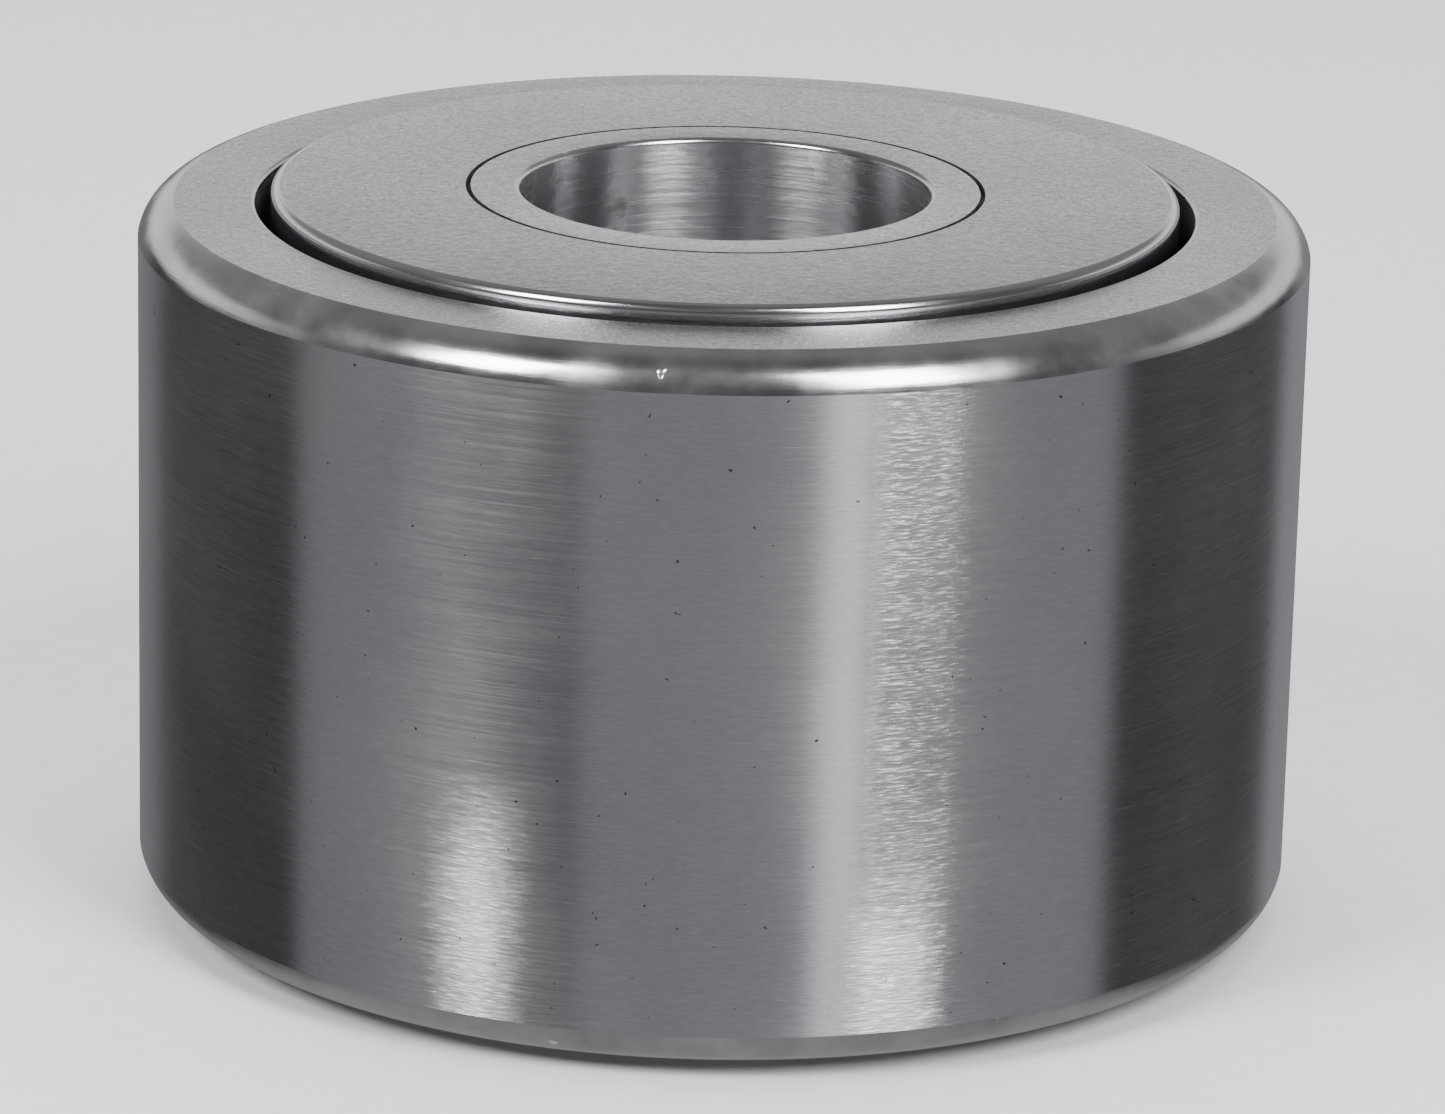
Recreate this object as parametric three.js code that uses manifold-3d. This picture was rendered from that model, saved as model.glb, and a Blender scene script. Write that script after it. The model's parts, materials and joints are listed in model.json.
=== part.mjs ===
// Yoke-type cam follower (track roller): a thick outer ring turns on caged needle rollers round a bored
// inner ring. Two end plates, pressed on the inner ring, hold the outer ring in place along the axis.
// Millimetres, +Z along the bearing's axis. The origin is on the axis, halfway along the width.
import * as THREE from "three";
import { mergeVertices } from "three/addons/utils/BufferGeometryUtils.js";
import Module from "manifold-3d";

const wasm = await Module();
wasm.setup();

// Driving dimensions: diameter, ring width and bore of a 2 1/2 inch roller.
const INCH = 25.4;
const ROLLER_DIAMETER = 2.5 * INCH;
const ROLLER_WIDTH = 1.5 * INCH;
const BORE_DIAMETER = 0.875 * INCH;
const PLATE_STAND_OUT = INCH / 32; // how far each end plate stands proud of the outer ring's face

const ROLLER_RADIUS = ROLLER_DIAMETER / 2;
const BORE_RADIUS = BORE_DIAMETER / 2;
const RING_HALF_WIDTH = ROLLER_WIDTH / 2;
const HALF_WIDTH = RING_HALF_WIDTH + PLATE_STAND_OUT; // to the faces that a yoke clamps

// Outer ring.
const RIM_ROUND = 1.9; // radius between the tread and the ring's faces
const RECESS_RADIUS = 0.8 * ROLLER_RADIUS; // counterbore that takes an end plate
const RECESS_EDGE = 0.25;
const RACEWAY_EDGE = 0.3;

// End plates.
const PLATE_GAP = INCH / 32; // running gap between an end plate and the outer ring's counterbore
const PLATE_RADIUS = RECESS_RADIUS - PLATE_GAP;
const PLATE_THICKNESS = 4.6;
const PLATE_ROUND = 0.5;
const PLATE_INNER_FACE = HALF_WIDTH - PLATE_THICKNESS;

// Inner ring.
const SEAT_RADIUS = 14.05; // shoulder that an end plate is pressed on
const INNER_RACEWAY_RADIUS = 15.5;
const BORE_EDGE = 0.3;
const SEAM_EDGE = 0.12; // broken edges that show as the thin line between inner ring and end plate
const PRESS_GAP = 0.03; // stands for the interference of the press fit, so that the two solids stay apart
const OIL_GROOVE_HALF_WIDTH = 2.0;
const OIL_GROOVE_DEPTH = 0.5;
const OIL_HOLE_RADIUS = 1.5;
const OIL_HOLE_FACETS = 16;

// Needle rollers and their cage.
const NEEDLE_COUNT = 18;
const NEEDLE_RADIUS = 2.25;
const NEEDLE_HALF_LENGTH = 12.0;
const NEEDLE_EDGE = 0.35;
const RACEWAY_CLEARANCE = 0.03;
const PITCH_RADIUS = INNER_RACEWAY_RADIUS + RACEWAY_CLEARANCE + NEEDLE_RADIUS;
const CAGE_INNER_RADIUS = 16.3;
const CAGE_OUTER_RADIUS = 19.3;
const CAGE_HALF_WIDTH = 13.8;
const POCKET_CLEARANCE = 0.1;

// Seal rings, which are also the thrust washers between an end plate and the counterbore's floor.
const SEAL_THICKNESS = 0.95;
const SEAL_PLAY = 0.1;
const SEAL_RADIAL_PLAY = 0.2;
const SEAL_LIP_HEIGHT = 0.9;
const SEAL_LIP_WIDTH = 0.35;
const RECESS_FLOOR = PLATE_INNER_FACE - SEAL_THICKNESS - 2 * SEAL_PLAY;

// Facets round a turned piece. Each count is a multiple of four, so the widest points lie on X and Y.
const RING_FACETS = 72;
const INNER_FACETS = 48;
const NEEDLE_FACETS = 12;
// A faceted bore is tightest at the middle of its facets: the outer raceway is opened up by that much.
const FACET_SAG = 1 / Math.cos(Math.PI / RING_FACETS);
const OUTER_RACEWAY_RADIUS = (PITCH_RADIUS + NEEDLE_RADIUS + RACEWAY_CLEARANCE) * FACET_SAG;

function finish(color, roughness, metalness) {
  return new THREE.MeshStandardMaterial({ color, roughness, metalness });
}

const material = {
  outerRing: finish(0x74757c, 0.28, 1.0),
  innerRing: finish(0xa9a8ac, 0.32, 1.0),
  endPlate: finish(0x9c9ca3, 0.42, 1.0),
  needle: finish(0xb4b5b9, 0.15, 1.0),
  cage: finish(0x8d8a84, 0.5, 1.0),
  seal: finish(0x17191c, 0.6, 0.0),
};

const point = (radius, z) => new THREE.Vector2(radius, z);

// Points of a rounded corner, turning from one angle to the other about its centre, in degrees.
function corner(centreRadius, centreZ, radius, from, to, steps = 4) {
  return Array.from({ length: steps + 1 }, (_, i) => {
    const angle = THREE.MathUtils.degToRad(from + ((to - from) * i) / steps);
    return point(centreRadius + radius * Math.cos(angle), centreZ + radius * Math.sin(angle));
  });
}

// A closed profile turned about Z. The profile runs anticlockwise when radius points right and z up.
function turned(profile, facets) {
  const closed = [...profile, profile[0]];
  return new THREE.LatheGeometry(closed, facets).rotateX(Math.PI / 2);
}

function toSolid(geometry) {
  const bare = geometry.index ? geometry.toNonIndexed() : geometry.clone();
  bare.deleteAttribute("normal");
  bare.deleteAttribute("uv");
  const merged = mergeVertices(bare, 1e-3);
  return new wasm.Manifold(
    new wasm.Mesh({
      numProp: 3,
      vertProperties: new Float32Array(merged.attributes.position.array),
      triVerts: new Uint32Array(merged.index.array),
    }),
  );
}

function toGeometry(solid) {
  const mesh = solid.getMesh();
  return new THREE.BufferGeometry()
    .setAttribute("position", new THREE.BufferAttribute(mesh.vertProperties, 3))
    .setIndex(new THREE.BufferAttribute(mesh.triVerts, 1));
}

function named(name, geometry, look) {
  const mesh = new THREE.Mesh(geometry, look);
  mesh.name = name;
  return mesh;
}

// Mirrors the upper half of a profile below the middle plane, and joins the two.
function withLowerHalf(upper) {
  const lower = upper.map((p) => point(p.x, -p.y)).reverse();
  return [...lower, ...upper];
}

function outerRing() {
  const rimCentre = ROLLER_RADIUS - RIM_ROUND;
  const upper = [
    ...corner(rimCentre, RING_HALF_WIDTH - RIM_ROUND, RIM_ROUND, 0, 90),
    point(RECESS_RADIUS + RECESS_EDGE, RING_HALF_WIDTH),
    point(RECESS_RADIUS, RING_HALF_WIDTH - RECESS_EDGE),
    point(RECESS_RADIUS, RECESS_FLOOR),
    point(OUTER_RACEWAY_RADIUS + RACEWAY_EDGE, RECESS_FLOOR),
    point(OUTER_RACEWAY_RADIUS, RECESS_FLOOR - RACEWAY_EDGE),
  ];
  return named("outer_ring", turned(withLowerHalf(upper), RING_FACETS), material.outerRing);
}

function innerRing() {
  const grooveRadius = BORE_RADIUS + OIL_GROOVE_DEPTH;
  const upper = [
    point(INNER_RACEWAY_RADIUS, PLATE_INNER_FACE - PRESS_GAP),
    point(SEAT_RADIUS, PLATE_INNER_FACE - PRESS_GAP),
    point(SEAT_RADIUS, HALF_WIDTH - SEAM_EDGE),
    point(SEAT_RADIUS - SEAM_EDGE, HALF_WIDTH),
    ...corner(BORE_RADIUS + BORE_EDGE, HALF_WIDTH - BORE_EDGE, BORE_EDGE, 90, 180, 2),
    point(BORE_RADIUS, OIL_GROOVE_HALF_WIDTH + OIL_GROOVE_DEPTH),
    point(grooveRadius, OIL_GROOVE_HALF_WIDTH),
  ];
  const ring = toSolid(turned(withLowerHalf(upper), INNER_FACETS));
  const depth = 2 * INNER_RACEWAY_RADIUS;
  const drill = new THREE.CylinderGeometry(OIL_HOLE_RADIUS, OIL_HOLE_RADIUS, depth, OIL_HOLE_FACETS);
  drill.rotateZ(Math.PI / 2).translate(INNER_RACEWAY_RADIUS, 0, 0);
  return named("inner_ring", toGeometry(ring.subtract(toSolid(drill))), material.innerRing);
}

// An end plate with its outer face up. The lower one is the same plate, turned over.
function endPlate(name) {
  const boreRadius = SEAT_RADIUS + PRESS_GAP;
  const profile = [
    point(PLATE_RADIUS - SEAM_EDGE, PLATE_INNER_FACE),
    point(PLATE_RADIUS, PLATE_INNER_FACE + SEAM_EDGE),
    ...corner(PLATE_RADIUS - PLATE_ROUND, HALF_WIDTH - PLATE_ROUND, PLATE_ROUND, 0, 90, 3),
    point(boreRadius + SEAM_EDGE, HALF_WIDTH),
    point(boreRadius, HALF_WIDTH - SEAM_EDGE),
    point(boreRadius, PLATE_INNER_FACE),
  ];
  return named(name, turned(profile, INNER_FACETS), material.endPlate);
}

// A flat ring on the counterbore's floor, with a lip that stands up in the gap round the end plate.
function sealRing(name) {
  const bottom = RECESS_FLOOR + SEAL_PLAY;
  const top = bottom + SEAL_THICKNESS;
  const outside = RECESS_RADIUS - SEAL_PLAY;
  const inside = INNER_RACEWAY_RADIUS + SEAL_RADIAL_PLAY;
  const profile = [
    point(inside, bottom),
    point(outside, bottom),
    point(outside, top + SEAL_LIP_HEIGHT),
    point(outside - SEAL_LIP_WIDTH, top + SEAL_LIP_HEIGHT),
    point(outside - SEAL_LIP_WIDTH, top),
    point(inside, top),
  ];
  return named(name, turned(profile, RING_FACETS), material.seal);
}

function needleGeometry() {
  const profile = [
    point(0, -NEEDLE_HALF_LENGTH),
    point(NEEDLE_RADIUS - NEEDLE_EDGE, -NEEDLE_HALF_LENGTH),
    point(NEEDLE_RADIUS, -NEEDLE_HALF_LENGTH + NEEDLE_EDGE),
    point(NEEDLE_RADIUS, NEEDLE_HALF_LENGTH - NEEDLE_EDGE),
    point(NEEDLE_RADIUS - NEEDLE_EDGE, NEEDLE_HALF_LENGTH),
    point(0, NEEDLE_HALF_LENGTH),
  ];
  return new THREE.LatheGeometry(profile, NEEDLE_FACETS).rotateX(Math.PI / 2);
}

const needleAngle = (index) => (2 * Math.PI * index) / NEEDLE_COUNT;

function cage() {
  const sleeve = turned(
    [
      point(CAGE_INNER_RADIUS, -CAGE_HALF_WIDTH),
      point(CAGE_OUTER_RADIUS, -CAGE_HALF_WIDTH),
      point(CAGE_OUTER_RADIUS, CAGE_HALF_WIDTH),
      point(CAGE_INNER_RADIUS, CAGE_HALF_WIDTH),
    ],
    RING_FACETS,
  );
  const width = 2 * (NEEDLE_RADIUS + POCKET_CLEARANCE);
  const length = 2 * (NEEDLE_HALF_LENGTH + POCKET_CLEARANCE);
  let solid = toSolid(sleeve);
  for (let i = 0; i < NEEDLE_COUNT; i++) {
    const pocket = new THREE.BoxGeometry(2 * NEEDLE_RADIUS, width, length);
    pocket.translate(PITCH_RADIUS, 0, 0).rotateZ(needleAngle(i));
    solid = solid.subtract(toSolid(pocket));
  }
  return named("needle_cage", toGeometry(solid), material.cage);
}

function needles() {
  const geometry = needleGeometry();
  const set = new THREE.Group();
  for (let i = 0; i < NEEDLE_COUNT; i++) {
    const angle = needleAngle(i);
    const needle = named(`needle_${String(i + 1).padStart(2, "0")}`, geometry, material.needle);
    needle.position.set(PITCH_RADIUS * Math.cos(angle), PITCH_RADIUS * Math.sin(angle), 0);
    needle.rotation.z = angle;
    set.add(needle);
  }
  return set;
}

// Turns a piece made for the upper end over, for the lower end.
function turnedOver(mesh) {
  mesh.rotation.x = Math.PI;
  return mesh;
}

const camFollower = new THREE.Group();
camFollower.add(outerRing(), innerRing(), cage(), needles());
camFollower.add(endPlate("end_plate_upper"), turnedOver(endPlate("end_plate_lower")));
camFollower.add(sealRing("seal_ring_upper"), turnedOver(sealRing("seal_ring_lower")));

export default camFollower;
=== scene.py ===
"""Yoke-type cam follower: fine turned pieces in ground steel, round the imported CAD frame.

Lengths are in metres, and +Z is the roller's axis.
"""
import json
import math

import bmesh
import bpy
from mathutils import Matrix, Vector


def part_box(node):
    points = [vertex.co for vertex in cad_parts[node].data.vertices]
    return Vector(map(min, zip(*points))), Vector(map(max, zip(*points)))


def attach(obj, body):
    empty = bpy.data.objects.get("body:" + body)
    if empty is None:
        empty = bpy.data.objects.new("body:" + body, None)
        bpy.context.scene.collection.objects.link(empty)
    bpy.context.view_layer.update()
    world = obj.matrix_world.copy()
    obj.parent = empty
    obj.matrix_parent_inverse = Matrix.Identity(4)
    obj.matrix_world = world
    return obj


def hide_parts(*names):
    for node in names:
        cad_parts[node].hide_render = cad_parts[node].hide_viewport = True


MM = 0.001
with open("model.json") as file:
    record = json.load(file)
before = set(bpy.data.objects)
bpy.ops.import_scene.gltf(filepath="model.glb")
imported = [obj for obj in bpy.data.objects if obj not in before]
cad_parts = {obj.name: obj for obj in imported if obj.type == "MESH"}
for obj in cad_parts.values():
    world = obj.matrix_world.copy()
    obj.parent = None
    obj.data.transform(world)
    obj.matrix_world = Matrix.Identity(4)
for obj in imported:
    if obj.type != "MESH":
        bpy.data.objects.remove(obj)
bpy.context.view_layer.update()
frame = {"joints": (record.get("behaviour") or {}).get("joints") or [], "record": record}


# Sizes, read off the frame.
def radius_of(node):
    """The radius of a node that is centred on the axis."""
    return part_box(node)[1].x


def top_of(node):
    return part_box(node)[1].z


ROLLER_RADIUS = radius_of("outer_ring")
RING_TOP = top_of("outer_ring")
PLATE_RADIUS = radius_of("end_plate_upper")
PLATE_TOP = top_of("end_plate_upper")
PLATE_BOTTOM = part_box("end_plate_upper")[0].z
RACEWAY_RADIUS = radius_of("inner_ring")
SEAL_RADIUS = radius_of("seal_ring_upper")
SEAL_TOP = top_of("seal_ring_upper")
SEAL_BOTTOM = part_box("seal_ring_upper")[0].z
CAGE_RADIUS = radius_of("needle_cage")
CAGE_TOP = top_of("needle_cage")
NEEDLE_TOP = top_of("needle_01")
NEEDLE_JOINTS = [joint for joint in frame["joints"] if joint["name"].startswith("needle_")]
PITCH_RADIUS = NEEDLE_JOINTS[0]["pos_m"][0]
NEEDLE_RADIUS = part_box("needle_01")[1].x - PITCH_RADIUS
NEEDLE_CLEARANCE = 0.03 * MM
OUTER_RACEWAY_RADIUS = PITCH_RADIUS + NEEDLE_RADIUS + NEEDLE_CLEARANCE

# Sizes that a box doesn't show, as in the part's source.
BORE_RADIUS = 11.1125 * MM
SEAT_RADIUS = 14.05 * MM
RECESS_RADIUS = 0.8 * ROLLER_RADIUS
RECESS_FLOOR = SEAL_BOTTOM - 0.1 * MM
CAGE_INNER_RADIUS = 16.3 * MM
RIM_ROUND = 1.9 * MM
PRESS_GAP = 0.03 * MM

# The open seam between the inner ring and an end plate.
SEAM_WIDTH = 0.24 * MM
SEAM_DEPTH = 0.4 * MM

RING_SEGMENTS = 320
INNER_SEGMENTS = 256
NEEDLE_SEGMENTS = 48
MERGE_DISTANCE = 1e-8

# An edge stays sharp where its two faces differ by more than this, in degrees.
SHARP_ANGLE = 35

UPSIDE_DOWN = Matrix.Rotation(math.pi, 4, "X")


# ---------- Turned shapes ----------

def arc(centre_radius, centre_z, radius, start, end, steps):
    """Points of a rounded edge, between two angles in degrees, about a centre."""
    points = []
    for i in range(steps + 1):
        angle = math.radians(start + (end - start) * i / steps)
        points.append((centre_radius + radius * math.cos(angle), centre_z + radius * math.sin(angle)))
    return points


def rows_up(radius, height, rows):
    """Points up an upright wall from the middle plane, evenly spaced. The plane's own point is left out."""
    return [(radius, row * height / rows) for row in range(1, rows + 1)]


class Profile:
    """A closed outline of (radius, z) points. Each stretch of it has one finish, by its place in a list."""

    def __init__(self):
        self.points = []
        self.finishes = []

    def stretch(self, finish, *points):
        """The outline runs from its last point through these, and what it turns has this finish."""
        for place in points:
            self.points.append(place)
            self.finishes.append(finish)

    def with_mirror(self):
        """This outline, which starts and ends at the middle plane, with its reflection below that plane."""
        whole = Profile()
        whole.points = self.points + [(r, -z) for r, z in reversed(self.points)]
        whole.finishes = self.finishes + [self.finishes[-1]] + list(reversed(self.finishes[1:]))
        return whole


def blunt_corner(radius, z, size, slack, steps):
    """Points of a rounded outer corner that meets the faces beside it at an edge of slack degrees."""
    sweep = math.radians(45 - slack)
    bend = size / (math.sqrt(2) * math.sin(sweep))
    centre_radius = radius - bend * math.cos(math.radians(slack))
    centre_z = z - bend * math.cos(math.radians(slack))
    return arc(centre_radius, centre_z, bend, slack, 90 - slack, steps)


def make_object(name, mesh, materials):
    for material in materials:
        mesh.materials.append(material)
    piece = bpy.data.objects.new(name, mesh)
    bpy.context.scene.collection.objects.link(piece)
    return piece


def smooth(mesh, sharp_above=SHARP_ANGLE):
    """Smooth shading, except at edges sharper than an angle in degrees."""
    mesh.shade_smooth()
    mesh.set_sharp_from_angle(angle=math.radians(sharp_above))


def turned_faces(profile, segments):
    """The corners of each face of a turned outline, and the finish of each face."""
    count = len(profile.points)
    faces = []
    finishes = []
    for i in range(segments):
        this = i * count
        following = ((i + 1) % segments) * count
        for k in range(count):
            before = (k - 1) % count
            if profile.points[k][0] > 0 or profile.points[before][0] > 0:
                faces.append((this + before, following + before, following + k, this + k))
                finishes.append(profile.finishes[k])
    return faces, finishes


def turned_mesh(name, profile, segments, sharp_above=SHARP_ANGLE):
    """Turns an outline about Z into a closed mesh.

    The outline runs anticlockwise, with radius to the right and z up, and closes on itself or on the axis.
    """
    vertices = []
    for i in range(segments):
        angle = 2 * math.pi * i / segments
        vertices += [(r * math.cos(angle), r * math.sin(angle), z) for r, z in profile.points]
    faces, finishes = turned_faces(profile, segments)
    mesh = bpy.data.meshes.new(name)
    mesh.from_pydata(vertices, [], faces)
    mesh.polygons.foreach_set("material_index", finishes)
    shape = bmesh.new()
    shape.from_mesh(mesh)
    bmesh.ops.remove_doubles(shape, verts=shape.verts, dist=MERGE_DISTANCE)
    shape.to_mesh(mesh)
    shape.free()
    smooth(mesh, sharp_above)
    return mesh


def cut(piece, cutter):
    """Cuts one closed mesh out of another, and removes the cutter."""
    modifier = piece.modifiers.new("cut", "BOOLEAN")
    modifier.operation = "DIFFERENCE"
    modifier.solver = "EXACT"
    modifier.object = cutter
    result = bpy.data.meshes.new_from_object(piece.evaluated_get(bpy.context.evaluated_depsgraph_get()))
    piece.modifiers.clear()
    piece.data = result
    smooth(result)
    bpy.data.objects.remove(cutter)


# ---------- Shader nodes ----------

# Where a Mix node of colours has its sockets.
MIX_AMOUNT = 0
MIX_FIRST = 6
MIX_SECOND = 7
MIX_RESULT = 2


class Nodes:
    """A node tree that is built node by node. Nodes are fed by other nodes' sockets or by constants."""

    def __init__(self, tree):
        self.tree = tree

    def node(self, kind, inputs=None, **settings):
        made = self.tree.nodes.new(kind)
        for key, value in settings.items():
            setattr(made, key, value)
        for key, value in (inputs or {}).items():
            self.feed(made.inputs[key], value)
        return made

    def feed(self, socket, value):
        if isinstance(value, bpy.types.NodeSocket):
            self.tree.links.new(value, socket)
        else:
            socket.default_value = value

    def math(self, operation, first, second=0.0):
        return self.node("ShaderNodeMath", {0: first, 1: second}, operation=operation).outputs[0]

    def remap(self, value, low, high, to_low=0.0, to_high=1.0):
        """Takes low..high to to_low..to_high, and holds it there beyond."""
        span = {"Value": value, "From Min": low, "From Max": high, "To Min": to_low, "To Max": to_high}
        return self.node("ShaderNodeMapRange", span).outputs["Result"]

    def fade(self, value, low, high):
        """0 below low and 1 above high, with a soft change between them."""
        span = {"Value": value, "From Min": low, "From Max": high}
        return self.node("ShaderNodeMapRange", span, interpolation_type="SMOOTHSTEP").outputs["Result"]

    def mix(self, amount, first, second):
        """The first colour where amount is 0, and the second where it is 1."""
        inputs = {MIX_AMOUNT: amount, MIX_FIRST: first, MIX_SECOND: second}
        return self.node("ShaderNodeMix", inputs, data_type="RGBA").outputs[MIX_RESULT]


# ---------- Procedural finishes ----------

# A quarter of a turn lays the stretched reflections along the axis.
GROUND_STEEL = {"Metallic": 1.0, "Anisotropic": 0.9, "Anisotropic Rotation": 0.25}


class Finish(Nodes):
    """A material round one Principled shader, in the object's own coordinates."""

    def __init__(self, name, constants):
        self.material = bpy.data.materials.new(name)
        self.material.use_nodes = True
        super().__init__(self.material.node_tree)
        self.shader = self.tree.nodes["Principled BSDF"]
        for key, value in constants.items():
            self.shader.inputs[key].default_value = value
        self.place = self.node("ShaderNodeTexCoord").outputs["Object"]

    def set(self, key, value):
        self.feed(self.shader.inputs[key], value)

    def noise(self, around, along, detail=3.0, roughness=0.55, offset=0.0):
        """Noise with this many grains to the metre across the axis (around) and along it."""
        shift = (offset, offset, offset)
        scaling = {"Vector": self.place, "Scale": (around, around, along), "Location": shift}
        scaled = self.node("ShaderNodeMapping", scaling).outputs["Vector"]
        grain = {"Vector": scaled, "Scale": 1.0, "Detail": detail, "Roughness": roughness}
        return self.node("ShaderNodeTexNoise", grain).outputs["Fac"]

    def spread(self, noise, to_low=0.0, to_high=1.0):
        """Takes 0.3..0.7, which noise seldom leaves, to to_low..to_high."""
        return self.remap(noise, 0.3, 0.7, to_low, to_high)

    def scaled(self, value, factor):
        return self.math("MULTIPLY", value, factor)

    def height(self):
        """How far the point is above the middle plane."""
        return self.node("ShaderNodeSeparateXYZ", {"Vector": self.place}).outputs["Z"]

    def radius(self):
        """How far the point is from the axis."""
        flat = self.node("ShaderNodeVectorMath", {0: self.place, 1: (1.0, 1.0, 0.0)}, operation="MULTIPLY")
        length = self.node("ShaderNodeVectorMath", {0: flat.outputs["Vector"]}, operation="LENGTH")
        return length.outputs["Value"]

    def rings(self, grain, offset=0.0):
        """Noise that depends on the radius alone: the fine rings that turning leaves on a flat face."""
        along_radius = self.math("ADD", self.scaled(self.radius(), grain), offset)
        inputs = {"W": along_radius, "Scale": 1.0, "Detail": 2.0}
        return self.node("ShaderNodeTexNoise", inputs, noise_dimensions="1D").outputs["Fac"]

    def bump(self, height, distance):
        inputs = {"Height": height, "Distance": distance, "Strength": 1.0}
        self.set("Normal", self.node("ShaderNodeBump", inputs).outputs["Normal"])

    def brushed_round(self):
        """Stretches reflections across marks that run round the axis."""
        tangent = self.node("ShaderNodeTangent", direction_type="RADIAL", axis="Z")
        self.set("Tangent", tangent.outputs["Tangent"])


def grey(value, blue=1.03):
    """A near-neutral colour, a little blue or, with blue below 1, a little warm."""
    return (value, value, value * blue, 1.0)


def strip(steel, azimuth, half_angle, soft):
    """1 on an upright strip of the tread and on the one opposite it, and 0 elsewhere. Angles in degrees."""
    turn = math.radians(azimuth)
    sideways = (math.cos(turn) / ROLLER_RADIUS, math.sin(turn) / ROLLER_RADIUS, 0.0)
    across = steel.node("ShaderNodeVectorMath", {0: steel.place, 1: sideways}, operation="DOT_PRODUCT")
    ragged = steel.noise(around=900.0, along=7000.0, offset=azimuth)
    away = steel.math("ABSOLUTE", across.outputs["Value"])
    away = steel.math("ADD", away, steel.spread(ragged, -soft / 2, soft / 2))
    edge = math.sin(math.radians(half_angle))
    return steel.remap(away, edge + soft, edge - soft)


def low_down(steel, top, fade):
    """1 low on the roller, fading to 0 at a height, with a ragged edge."""
    ragged = steel.noise(around=600.0, along=4000.0, detail=4.0, offset=top / MM)
    return steel.remap(steel.math("ADD", steel.height(), steel.scaled(ragged, fade)), top, top - fade)


def tread_scuffs_and_painted_glare(steel):
    """1 on two patches low on the tread: rougher scuff marks with a painted reflection of glare."""
    fade = 6 * MM
    left_strip = strip(steel, azimuth=-22.3, half_angle=3.2, soft=0.04)
    left_scuff_and_glare = steel.math("MULTIPLY", left_strip, low_down(steel, -0.5 * MM, fade))
    right_strip = strip(steel, azimuth=17.4, half_angle=4.2, soft=0.03)
    right_scuff_and_glare = steel.math("MULTIPLY", right_strip, low_down(steel, -3.6 * MM, fade))
    return steel.math("MAXIMUM", left_scuff_and_glare, right_scuff_and_glare)


def tread_finish():
    """Centreless-ground tread: fine marks round it, and a strip and patches of short scuff marks with
    painted glare.
    """
    steel = Finish("tread_ground_steel", GROUND_STEEL)
    marks = steel.noise(around=120.0, along=9000.0, detail=4.0, roughness=0.65)
    dashes = steel.noise(around=1300.0, along=10000.0, detail=2.0, roughness=0.5, offset=5.0)
    clouds = steel.noise(around=70.0, along=50.0, detail=4.0)
    scratches = steel.remap(steel.noise(around=420.0, along=9000.0, detail=2.0, offset=3.1), 0.68, 0.76)
    specks = steel.remap(steel.noise(around=2600.0, along=3000.0, detail=1.0, offset=7.7), 0.77, 0.8)
    scuffs_and_painted_glare = tread_scuffs_and_painted_glare(steel)
    # An upright strip of scuff marks beside the bright streak, whose small marks are painted brighter as
    # painted glints.
    dashes_and_painted_glint_strip = strip(steel, azimuth=19.3, half_angle=4.2, soft=0.016)
    worn_and_painted_glare = steel.math("MAXIMUM", scuffs_and_painted_glare, dashes_and_painted_glint_strip)
    flecks_and_painted_glints = steel.math("MULTIPLY", worn_and_painted_glare, steel.remap(dashes, 0.5, 0.72))
    colour = steel.mix(steel.spread(clouds), grey(0.5), grey(0.58, 1.01))
    colour = steel.mix(steel.remap(dashes, 0.4, 0.75, 0.0, 0.3), colour, grey(0.75))
    colour = steel.mix(steel.scaled(scratches, 0.4), colour, grey(0.8))
    # Painted reflection: the two low patches are painted lighter, standing in for glare mirrored low on the
    # tread.
    colour = steel.mix(steel.scaled(scuffs_and_painted_glare, 0.15), colour, grey(0.8))
    # Painted glints: small marks in the low patches and in the strip are painted near white.
    colour = steel.mix(steel.scaled(flecks_and_painted_glints, 0.35), colour, grey(0.9))
    colour = steel.mix(specks, colour, grey(0.12, 0.95))
    steel.set("Base Color", colour)
    rough = steel.remap(marks, 0.25, 0.75, 0.17, 0.25)
    rough = steel.math("ADD", rough, steel.spread(clouds, -0.03, 0.04))
    rough = steel.math("ADD", rough, steel.scaled(scuffs_and_painted_glare, 0.15))
    steel.set("Roughness", steel.math("ADD", rough, steel.scaled(flecks_and_painted_glints, 0.11)))
    depth = steel.remap(worn_and_painted_glare, 0.0, 1.0, 1.6, 12.0)
    height = steel.math("ADD", steel.scaled(marks, 0.6), steel.math("MULTIPLY", dashes, depth))
    steel.bump(steel.math("SUBTRACT", height, scratches), 0.0024 * MM)
    steel.brushed_round()
    return steel.material


def rim_finish():
    """The rounded rim: smoother than the tread, faintly stained, with a few small nicks."""
    steel = Finish("rim_tumbled_steel", {"Metallic": 1.0})
    marks = steel.noise(around=300.0, along=6000.0)
    clouds = steel.noise(around=220.0, along=220.0, detail=4.0, offset=2.0)
    nicks = steel.remap(steel.noise(around=520.0, along=520.0, detail=2.0, offset=5.3), 0.71, 0.75)
    colour = steel.mix(steel.spread(clouds), grey(0.36), grey(0.56, 1.0))
    steel.set("Base Color", steel.mix(nicks, colour, grey(0.85)))
    steel.set("Roughness", steel.spread(clouds, 0.14, 0.26))
    steel.bump(steel.math("SUBTRACT", marks, steel.scaled(nicks, 8.0)), 0.006 * MM)
    return steel.material


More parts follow.
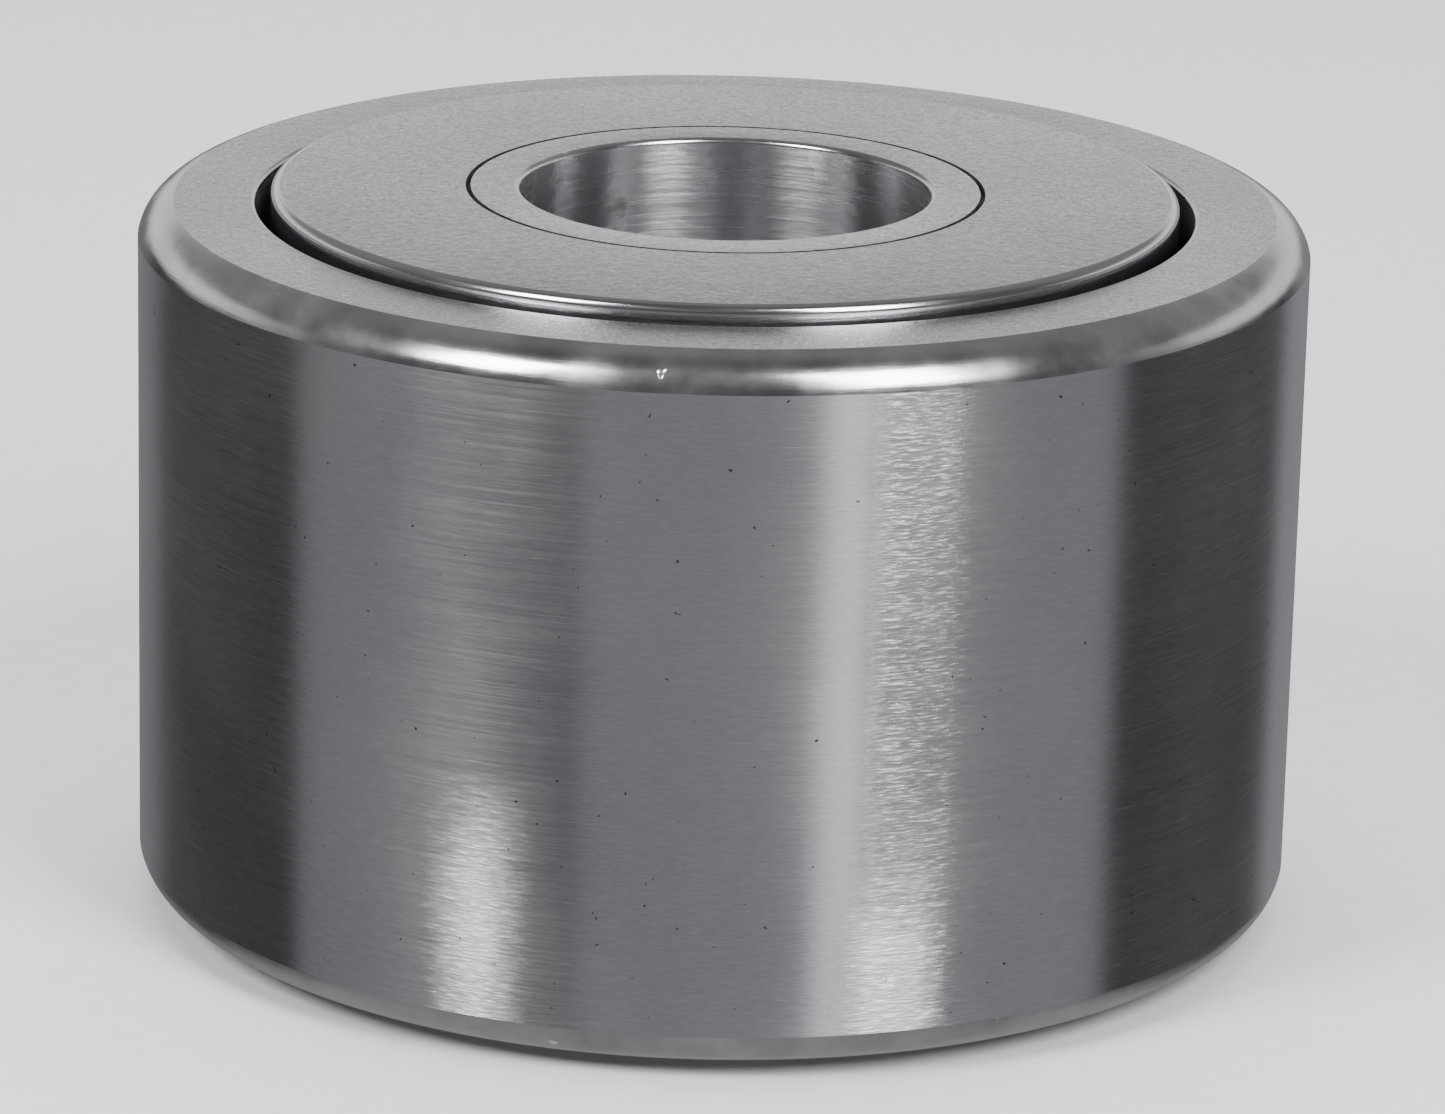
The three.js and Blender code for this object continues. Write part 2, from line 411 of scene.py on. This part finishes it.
def face_finish(name, tone, offset):
    """A satin-ground flat face: a fine grain, a slight orange peel, faint rings and small bright specks."""
    steel = Finish(name, {"Metallic": 1.0})
    grain = steel.noise(around=4200.0, along=4200.0, roughness=0.75, offset=offset)
    peel = steel.noise(around=1700.0, along=1700.0, roughness=0.6, offset=offset + 2.0)
    rings = steel.rings(9000.0, offset)
    clouds = steel.noise(around=110.0, along=110.0, detail=4.0, offset=offset + 1.0)
    specks = steel.noise(around=1500.0, along=1500.0, detail=1.0, offset=offset + 4.0)
    colour = steel.mix(steel.spread(clouds), grey(tone * 0.9), grey(tone * 1.06, 1.01))
    colour = steel.mix(steel.remap(grain, 0.45, 0.7, 0.0, 0.75), colour, grey(tone * 0.5))
    colour = steel.mix(steel.remap(peel, 0.45, 0.7, 0.0, 0.5), colour, grey(tone * 0.6))
    steel.set("Base Color", steel.mix(steel.remap(specks, 0.78, 0.8), colour, grey(0.9)))
    rough = steel.math("ADD", steel.spread(grain, 0.22, 0.36), steel.spread(rings, -0.02, 0.03))
    steel.set("Roughness", rough)
    height = steel.math("ADD", grain, steel.scaled(peel, 2.5))
    steel.bump(steel.math("ADD", height, steel.scaled(rings, 0.3)), 0.012 * MM)
    return steel.material


def bore_finish():
    """A ground bore: glossy, with fine marks round it, short waves and a few oil stains."""
    steel = Finish("bore_ground_steel", GROUND_STEEL)
    marks = steel.noise(around=90.0, along=7000.0, detail=4.0, roughness=0.6, offset=1.7)
    waves = steel.noise(around=700.0, along=2600.0, detail=2.5, offset=8.0)
    stains = steel.remap(steel.noise(around=260.0, along=260.0, detail=4.0, offset=9.2), 0.62, 0.7)
    steel.set("Base Color", steel.mix(steel.scaled(stains, 0.7), grey(0.58), grey(0.14, 0.95)))
    rough = steel.remap(marks, 0.25, 0.75, 0.2, 0.3)
    steel.set("Roughness", steel.math("ADD", rough, steel.scaled(stains, 0.15)))
    steel.bump(steel.math("ADD", marks, steel.scaled(waves, 5.0)), 0.006 * MM)
    steel.brushed_round()
    return steel.material


def painted_recess_shade():
    """Turned surfaces inside the recesses, painted darker as shade, with the rings of the tool and a clear
    coat like grease.
    """
    steel = Finish("recess_turned_steel_painted_shade", {"Metallic": 1.0, "Coat Weight": 0.3, "Coat Roughness": 0.2})
    marks = steel.noise(around=60.0, along=12000.0, detail=2.0, offset=2.9)
    clouds = steel.noise(around=300.0, along=300.0, offset=6.0)
    # Painted shade: the base colour is far darker than the other steel, so the recesses look dark.
    steel.set("Base Color", steel.mix(steel.remap(clouds, 0.35, 0.7), grey(0.2), grey(0.3)))
    steel.set("Roughness", steel.spread(marks, 0.35, 0.5))
    steel.bump(marks, 0.006 * MM)
    return steel.material


def raceway_finish(name, tone, low, high):
    """Steel with a faint trace of marks round it, and a roughness between low and high."""
    steel = Finish(name, {"Metallic": 1.0})
    marks = steel.noise(around=150.0, along=9000.0, detail=2.0, offset=4.4)
    steel.set("Base Color", steel.mix(steel.spread(marks), grey(tone * 0.95), grey(tone)))
    steel.set("Roughness", steel.spread(marks, low, high))
    steel.bump(marks, 0.002 * MM)
    return steel.material


def seal_finish():
    """Black nitrile: matt, slightly mottled, with a fine moulded grain."""
    rubber = Finish("seal_black_nitrile", {"Metallic": 0.0})
    grain = rubber.noise(around=5000.0, along=5000.0)
    clouds = rubber.noise(around=250.0, along=250.0, detail=2.0, offset=3.0)
    dark, light = (0.012, 0.012, 0.014, 1.0), (0.024, 0.024, 0.027, 1.0)
    rubber.set("Base Color", rubber.mix(rubber.spread(clouds), dark, light))
    rubber.set("Roughness", rubber.spread(grain, 0.5, 0.68))
    rubber.bump(grain, 0.01 * MM)
    return rubber.material


def painted_seam_shade():
    """Painted shade in the narrow seam between the inner ring and the end plate: dark and dull."""
    oil = Finish("seam_painted_shade", {"Metallic": 0.0})
    clouds = oil.noise(around=900.0, along=900.0)
    # The seam's walls are painted near black as shade between the inner ring and the plate; oil holds that
    # painted shade.
    dark, light = (0.008, 0.008, 0.01, 1.0), (0.03, 0.029, 0.03, 1.0)
    oil.set("Base Color", oil.mix(oil.spread(clouds), dark, light))
    oil.set("Roughness", oil.spread(clouds, 0.55, 0.75))
    oil.bump(clouds, 0.005 * MM)
    return oil.material


def paper_finish():
    """The pale, matt floor."""
    paper = Finish("floor_paper", {"Metallic": 0.0, "Specular IOR Level": 0.2})
    grain = paper.noise(around=700.0, along=700.0)
    paper.set("Base Color", paper.mix(paper.spread(grain), grey(0.6, 1.01), grey(0.63, 1.01)))
    paper.set("Roughness", paper.spread(grain, 0.75, 0.85))
    return paper.material


TREAD = tread_finish()
RIM = rim_finish()
RING_FACE = face_finish("ring_face_ground_steel", tone=0.62, offset=0.0)
PLATE_FACE = face_finish("plate_face_ground_steel", tone=0.58, offset=11.0)
PLATE_EDGE = raceway_finish("plate_edge_turned_steel", tone=0.5, low=0.12, high=0.22)
INNER_FACE = face_finish("inner_face_ground_steel", tone=0.66, offset=23.0)
BORE = bore_finish()
RECESS_SHADED = painted_recess_shade()
RACEWAY = raceway_finish("raceway_superfinished_steel", tone=0.6, low=0.08, high=0.16)
NEEDLE = raceway_finish("needle_superfinished_steel", tone=0.62, low=0.08, high=0.16)
CAGE = raceway_finish("cage_pressed_steel", tone=0.45, low=0.35, high=0.5)
SEAL = seal_finish()
SEAM_SHADE = painted_seam_shade()
PAPER = paper_finish()


# ---------- Pieces ----------

def outer_ring():
    """The roller. Its tread is cut into rows, so that no face is very long and thin."""
    tread, rim, face, recess, raceway = range(5)
    rows = 8
    rim_slack = 12
    sharp_above = 9
    edge = 0.25 * MM
    floor_round = 0.4 * MM
    profile = Profile()
    profile.stretch(tread, *rows_up(ROLLER_RADIUS, RING_TOP - RIM_ROUND, rows))
    profile.stretch(rim, *blunt_corner(ROLLER_RADIUS, RING_TOP, RIM_ROUND, rim_slack, steps=16)[1:])
    profile.stretch(face, (RECESS_RADIUS + edge, RING_TOP))
    profile.stretch(rim, *arc(RECESS_RADIUS + edge, RING_TOP - edge, edge, 90, 180, 12)[1:])
    profile.stretch(recess, (RECESS_RADIUS, RECESS_FLOOR + floor_round))
    floor_arc = arc(RECESS_RADIUS - floor_round, RECESS_FLOOR + floor_round, floor_round, 0, -90, 5)
    profile.stretch(recess, *floor_arc[1:])
    profile.stretch(recess, (OUTER_RACEWAY_RADIUS + edge, RECESS_FLOOR))
    profile.stretch(recess, *arc(OUTER_RACEWAY_RADIUS + edge, RECESS_FLOOR - edge, edge, 90, 180, 4)[1:])
    profile.stretch(raceway, (OUTER_RACEWAY_RADIUS, RECESS_FLOOR / 2))
    mesh = turned_mesh("outer_ring_turned", profile.with_mirror(), RING_SEGMENTS, sharp_above)
    piece = make_object("outer_ring_turned", mesh, [TREAD, RIM, RING_FACE, RECESS_SHADED, RACEWAY])
    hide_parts("outer_ring")
    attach(piece, "outer_ring_assembly")


def oil_hole_cutter():
    """A rod through one wall of the inner ring, for its oil hole."""
    hole_radius = 1.5 * MM
    mesh = bpy.data.meshes.new("oil_hole_cutter")
    shape = bmesh.new()
    rod = {"radius1": hole_radius, "radius2": hole_radius, "depth": 2 * RACEWAY_RADIUS}
    bmesh.ops.create_cone(shape, cap_ends=True, segments=64, **rod)
    lay_along_x = Matrix.Rotation(math.pi / 2, 3, "Y")
    bmesh.ops.rotate(shape, matrix=lay_along_x, verts=shape.verts)
    bmesh.ops.translate(shape, vec=(RACEWAY_RADIUS, 0.0, 0.0), verts=shape.verts)
    shape.to_mesh(mesh)
    shape.free()
    return make_object("oil_hole_cutter", mesh, [BORE])


def inner_ring():
    """The sleeve, with an oil groove and an oil hole at the middle of its bore."""
    raceway, face, edge_finish, bore, seam = range(5)
    rows = 8
    shoulder = PLATE_BOTTOM - PRESS_GAP
    mouth = 0.3 * MM
    break_edge = 0.2 * MM
    groove_floor_half = 1.6 * MM
    groove_depth = 0.5 * MM
    groove_mouth_half = 2.5 * MM
    bore_rows = (16 * MM, 12 * MM, 8 * MM, 5 * MM)
    profile = Profile()
    profile.stretch(raceway, *rows_up(RACEWAY_RADIUS, shoulder - break_edge, rows))
    shoulder_arc = arc(RACEWAY_RADIUS - break_edge, shoulder - break_edge, break_edge, 0, 90, 4)
    profile.stretch(raceway, *shoulder_arc[1:])
    profile.stretch(raceway, (SEAT_RADIUS, shoulder), (SEAT_RADIUS, PLATE_TOP - SEAM_DEPTH))
    seam_wall = SEAT_RADIUS - SEAM_WIDTH
    profile.stretch(seam, (seam_wall, PLATE_TOP - SEAM_DEPTH), (seam_wall, PLATE_TOP))
    profile.stretch(face, (BORE_RADIUS + mouth, PLATE_TOP))
    profile.stretch(edge_finish, *arc(BORE_RADIUS + mouth, PLATE_TOP - mouth, mouth, 90, 180, 6)[1:])
    profile.stretch(bore, *[(BORE_RADIUS, z) for z in bore_rows])
    profile.stretch(bore, (BORE_RADIUS, groove_mouth_half))
    profile.stretch(bore, (BORE_RADIUS + groove_depth, groove_floor_half))
    mesh = turned_mesh("inner_ring_turned", profile.with_mirror(), INNER_SEGMENTS)
    piece = make_object("inner_ring_turned", mesh, [RACEWAY, INNER_FACE, RIM, BORE, SEAM_SHADE])
    cut(piece, oil_hole_cutter())
    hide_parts("inner_ring")
    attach(piece, "inner_assembly")


def end_plate(side):
    """One of the two plates that are pressed on the inner ring's ends."""
    face, edge_finish, inside, seam = range(4)
    corner = 0.5 * MM
    back_edge = 0.16 * MM
    bore = SEAT_RADIUS + PRESS_GAP
    profile = Profile()
    profile.stretch(inside, (bore, PLATE_BOTTOM), (PLATE_RADIUS - back_edge, PLATE_BOTTOM))
    back = arc(PLATE_RADIUS - back_edge, PLATE_BOTTOM + back_edge, back_edge, -90, 0, 3)
    profile.stretch(inside, *back[1:])
    profile.stretch(edge_finish, (PLATE_RADIUS, PLATE_TOP - corner))
    corner_arc = arc(PLATE_RADIUS - corner, PLATE_TOP - corner, corner, 0, 90, 8)
    profile.stretch(edge_finish, *corner_arc[1:])
    profile.stretch(face, (bore, PLATE_TOP))
    profile.stretch(seam, (bore, PLATE_TOP - SEAM_DEPTH))
    mesh = turned_mesh(f"end_plate_{side}_turned", profile, INNER_SEGMENTS)
    if side == "lower":
        mesh.transform(UPSIDE_DOWN)
    piece = make_object(f"end_plate_{side}_turned", mesh, [PLATE_FACE, PLATE_EDGE, RECESS_SHADED, SEAM_SHADE])
    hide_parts(f"end_plate_{side}")
    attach(piece, "inner_assembly")


def seal_ring(side):
    """A thrust washer with a rounded lip, under an end plate."""
    inside = RACEWAY_RADIUS + 0.2 * MM
    washer_top = PLATE_BOTTOM - 0.1 * MM
    lip_width = 0.35 * MM
    tip = lip_width / 2
    lip = SEAL_RADIUS - tip
    profile = Profile()
    profile.stretch(0, (inside, washer_top), (inside, SEAL_BOTTOM), (SEAL_RADIUS, SEAL_BOTTOM))
    profile.stretch(0, *arc(lip, SEAL_TOP - tip, tip, 0, 180, 8))
    profile.stretch(0, (SEAL_RADIUS - lip_width, washer_top))
    mesh = turned_mesh(f"seal_ring_{side}_moulded", profile, INNER_SEGMENTS)
    if side == "lower":
        mesh.transform(UPSIDE_DOWN)
    piece = make_object(f"seal_ring_{side}_moulded", mesh, [SEAL])
    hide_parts(f"seal_ring_{side}")
    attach(piece, "outer_ring_assembly")


def needles():
    """Every needle roller shares one mesh, and stands at its own joint."""
    edge = 0.35 * MM
    half = Profile()
    half.stretch(0, (NEEDLE_RADIUS, 0.5 * NEEDLE_TOP), (NEEDLE_RADIUS, NEEDLE_TOP - edge))
    half.stretch(0, *arc(NEEDLE_RADIUS - edge, NEEDLE_TOP - edge, edge, 0, 90, 5)[1:])
    half.stretch(0, (0.5 * NEEDLE_RADIUS, NEEDLE_TOP), (0.0, NEEDLE_TOP))
    mesh = turned_mesh("needle_ground", half.with_mirror(), NEEDLE_SEGMENTS)
    mesh.materials.append(NEEDLE)
    for joint in NEEDLE_JOINTS:
        node = frame["record"]["behaviour"]["bodies"][joint["child"]][0]
        piece = make_object(f"{node}_ground", mesh, [])
        piece.location = joint["pos_m"]
        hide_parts(node)
        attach(piece, joint["child"])


def pocket_cutter():
    """One prism with rounded corners for each needle roller, through the cage's wall."""
    corner = 0.6 * MM
    clearance = 0.1 * MM
    half_width = NEEDLE_RADIUS + clearance - corner
    half_length = NEEDLE_TOP + clearance - corner
    inner_end = 0.8 * PITCH_RADIUS
    outer_end = 1.2 * PITCH_RADIUS
    outline = []
    for y, z, start in ((1, 1, 0), (-1, 1, 90), (-1, -1, 180), (1, -1, 270)):
        outline += arc(y * half_width, z * half_length, corner, start, start + 90, 4)
    count = len(outline)
    vertices = []
    faces = []
    for joint in NEEDLE_JOINTS:
        angle = math.atan2(joint["pos_m"][1], joint["pos_m"][0])
        turn = Matrix.Rotation(angle, 3, "Z")
        first = len(vertices)
        for x in (inner_end, outer_end):
            vertices += [turn @ Vector((x, y, z)) for y, z in outline]
        faces.append(tuple(first + k for k in reversed(range(count))))
        faces.append(tuple(first + count + k for k in range(count)))
        for k in range(count):
            following = (k + 1) % count
            faces.append((first + k, first + following, first + count + following, first + count + k))
    mesh = bpy.data.meshes.new("pocket_cutter")
    mesh.from_pydata(vertices, [], faces)
    return make_object("pocket_cutter", mesh, [CAGE])


def cage():
    """A sleeve with a pocket for each needle roller."""
    rows = 6
    edge = 0.3 * MM
    half = Profile()
    half.stretch(0, *rows_up(CAGE_RADIUS, CAGE_TOP - edge, rows))
    half.stretch(0, *arc(CAGE_RADIUS - edge, CAGE_TOP - edge, edge, 0, 90, 4)[1:])
    half.stretch(0, *arc(CAGE_INNER_RADIUS + edge, CAGE_TOP - edge, edge, 90, 180, 4))
    half.stretch(0, *reversed(rows_up(CAGE_INNER_RADIUS, CAGE_TOP - edge, rows)[:-1]))
    mesh = turned_mesh("needle_cage_pierced", half.with_mirror(), INNER_SEGMENTS)
    piece = make_object("needle_cage_pierced", mesh, [CAGE])
    cut(piece, pocket_cutter())
    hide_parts("needle_cage")
    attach(piece, "cage")


# ---------- Floor, light and camera ----------

FLOOR_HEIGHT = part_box("end_plate_lower")[0].z

# Brightness of the studio surround. The camera sees only the backdrop. The metal mirrors the rest.
WALL_LEVEL = 1.25
CEILING_LEVEL = 0.3
FRONT_LEVEL = 0.12
BACKDROP_LEVEL = 0.6
TABLE_LEVEL = 0.42

# Where one part of the surround fades into the next, as parts of a direction of length 1: up, or away (+Y).
TABLE_FADE_UP = (-0.8, -0.45)
HORIZON_FADE_UP = (-0.02, 0.1)
CEILING_FADE_UP = (0.25, 0.37)
WALL_FADE_AWAY = (-0.2, 0.5)

# Brightness below the horizon, by azimuth in degrees: 0 is the camera's side, and it grows to the right.
CARD_BANDS = [
    (-180, 0.22), (-150, 0.2), (-137, 0.08), (-91, 0.065), (-87, 0.26), (-60, 0.27), (-42, 0.19),
    (-28, 0.17), (-23, 0.29), (10, 0.32), (18, 0.36), (23, 1.15), (28, 1.15), (30, 0.33), (45, 0.3),
    (49, 0.28), (82, 0.31), (86, 0.065), (138, 0.08), (148, 0.3), (180, 0.22),
]


def floor():
    """A round pale floor, which the metal doesn't mirror."""
    floor_radius = 3.0
    segments = 64
    turns = [2 * math.pi * i / segments for i in range(segments)]
    ring = [(floor_radius * math.cos(t), floor_radius * math.sin(t), FLOOR_HEIGHT) for t in turns]
    mesh = bpy.data.meshes.new("floor")
    mesh.from_pydata(ring, [], [tuple(range(segments))])
    paper_sheet = make_object("floor", mesh, [PAPER])
    paper_sheet.visible_glossy = False


def softbox(name, azimuth, elevation, distance, size, power):
    """An area light aimed at the part. Azimuth 0 is the camera's side, and it grows to the right."""
    a = math.radians(azimuth)
    e = math.radians(elevation)
    way = Vector((math.sin(a) * math.cos(e), -math.cos(a) * math.cos(e), math.sin(e)))
    lamp = bpy.data.lights.new(name, "AREA")
    lamp.shape = "RECTANGLE"
    lamp.size, lamp.size_y = size
    lamp.energy = power
    lamp_object = bpy.data.objects.new(name, lamp)
    lamp_object.location = way * distance
    lamp_object.rotation_euler = way.to_track_quat("Z", "Y").to_euler()
    lamp_object.visible_camera = False
    bpy.context.scene.collection.objects.link(lamp_object)
    return lamp_object


def card_bands(nodes, azimuth):
    """The colour of CARD_BANDS at an azimuth in radians."""
    share = nodes.remap(azimuth, -math.pi, math.pi)
    bands = nodes.node("ShaderNodeValToRGB", {"Fac": share})
    ramp = bands.color_ramp
    ramp.interpolation = "LINEAR"
    stops = [((degrees + 180) / 360, level) for degrees, level in CARD_BANDS]
    ramp.elements[0].position = stops[0][0]
    ramp.elements[1].position = stops[-1][0]
    for position, _ in stops[1:-1]:
        ramp.elements.new(position)
    for element, (_, level) in zip(ramp.elements, stops):
        element.color = grey(level, 1.06)
    return bands.outputs["Color"]


def studio_world():
    """What the metal mirrors: pale and dark walls, and below the horizon upright bands, as of cards."""
    world = bpy.data.worlds.new("studio")
    world.use_nodes = True
    nodes = Nodes(world.node_tree)
    way = nodes.node("ShaderNodeTexCoord").outputs["Generated"]
    parts = nodes.node("ShaderNodeSeparateXYZ", {"Vector": way}).outputs
    right, away, up = parts["X"], parts["Y"], parts["Z"]
    azimuth = nodes.math("ARCTAN2", right, nodes.math("MULTIPLY", away, -1.0))
    far_wall = nodes.mix(nodes.fade(up, *CEILING_FADE_UP), grey(WALL_LEVEL), grey(CEILING_LEVEL))
    above = nodes.mix(nodes.fade(away, *WALL_FADE_AWAY), grey(FRONT_LEVEL), far_wall)
    below = nodes.mix(nodes.fade(up, *TABLE_FADE_UP), grey(TABLE_LEVEL), card_bands(nodes, azimuth))
    mirrored = nodes.mix(nodes.fade(up, *HORIZON_FADE_UP), below, above)
    seen_directly = nodes.node("ShaderNodeLightPath").outputs["Is Camera Ray"]
    colour = nodes.mix(seen_directly, mirrored, grey(BACKDROP_LEVEL, 1.02))
    nodes.feed(world.node_tree.nodes["Background"].inputs["Color"], colour)
    bpy.context.scene.world = world


def lights():
    studio_world()
    overhead = softbox("overhead", azimuth=180, elevation=70, distance=0.9, size=(0.8, 0.8), power=10.0)
    overhead.visible_glossy = False
    softbox("left_front", azimuth=-50, elevation=40, distance=0.7, size=(0.22, 0.30), power=6.5)
    softbox("right_front", azimuth=37, elevation=40, distance=0.7, size=(0.24, 0.40), power=8.0)


def camera():
    """The photograph's view, as estimated: a long lens a little above the roller, tilted slightly."""
    elevation = math.radians(17.231)
    roll = math.radians(1.314)
    focal_in_widths = 4.7476125
    distance = 11.9023 * ROLLER_RADIUS
    aim = Vector((0.0092 * ROLLER_RADIUS, 0.0, RING_TOP - 0.6353 * ROLLER_RADIUS))
    forward = Vector((0.0, math.cos(elevation), -math.sin(elevation)))
    level_right = Vector((1.0, 0.0, 0.0))
    level_up = Vector((0.0, math.sin(elevation), math.cos(elevation)))
    right = math.cos(roll) * level_right + math.sin(roll) * level_up
    up = math.cos(roll) * level_up - math.sin(roll) * level_right
    data = bpy.data.cameras.new("camera")
    data.sensor_width = 36.0
    data.lens = data.sensor_width * focal_in_widths
    data.clip_start = 0.01
    data.clip_end = 20.0
    eye = bpy.data.objects.new("camera", data)
    turn = Matrix((right, up, -forward)).transposed().to_4x4()
    eye.matrix_world = Matrix.Translation(aim - distance * forward) @ turn
    bpy.context.scene.collection.objects.link(eye)
    bpy.context.scene.camera = eye


outer_ring()
inner_ring()
cage()
needles()
for side in ("upper", "lower"):
    end_plate(side)
    seal_ring(side)
floor()
lights()
camera()
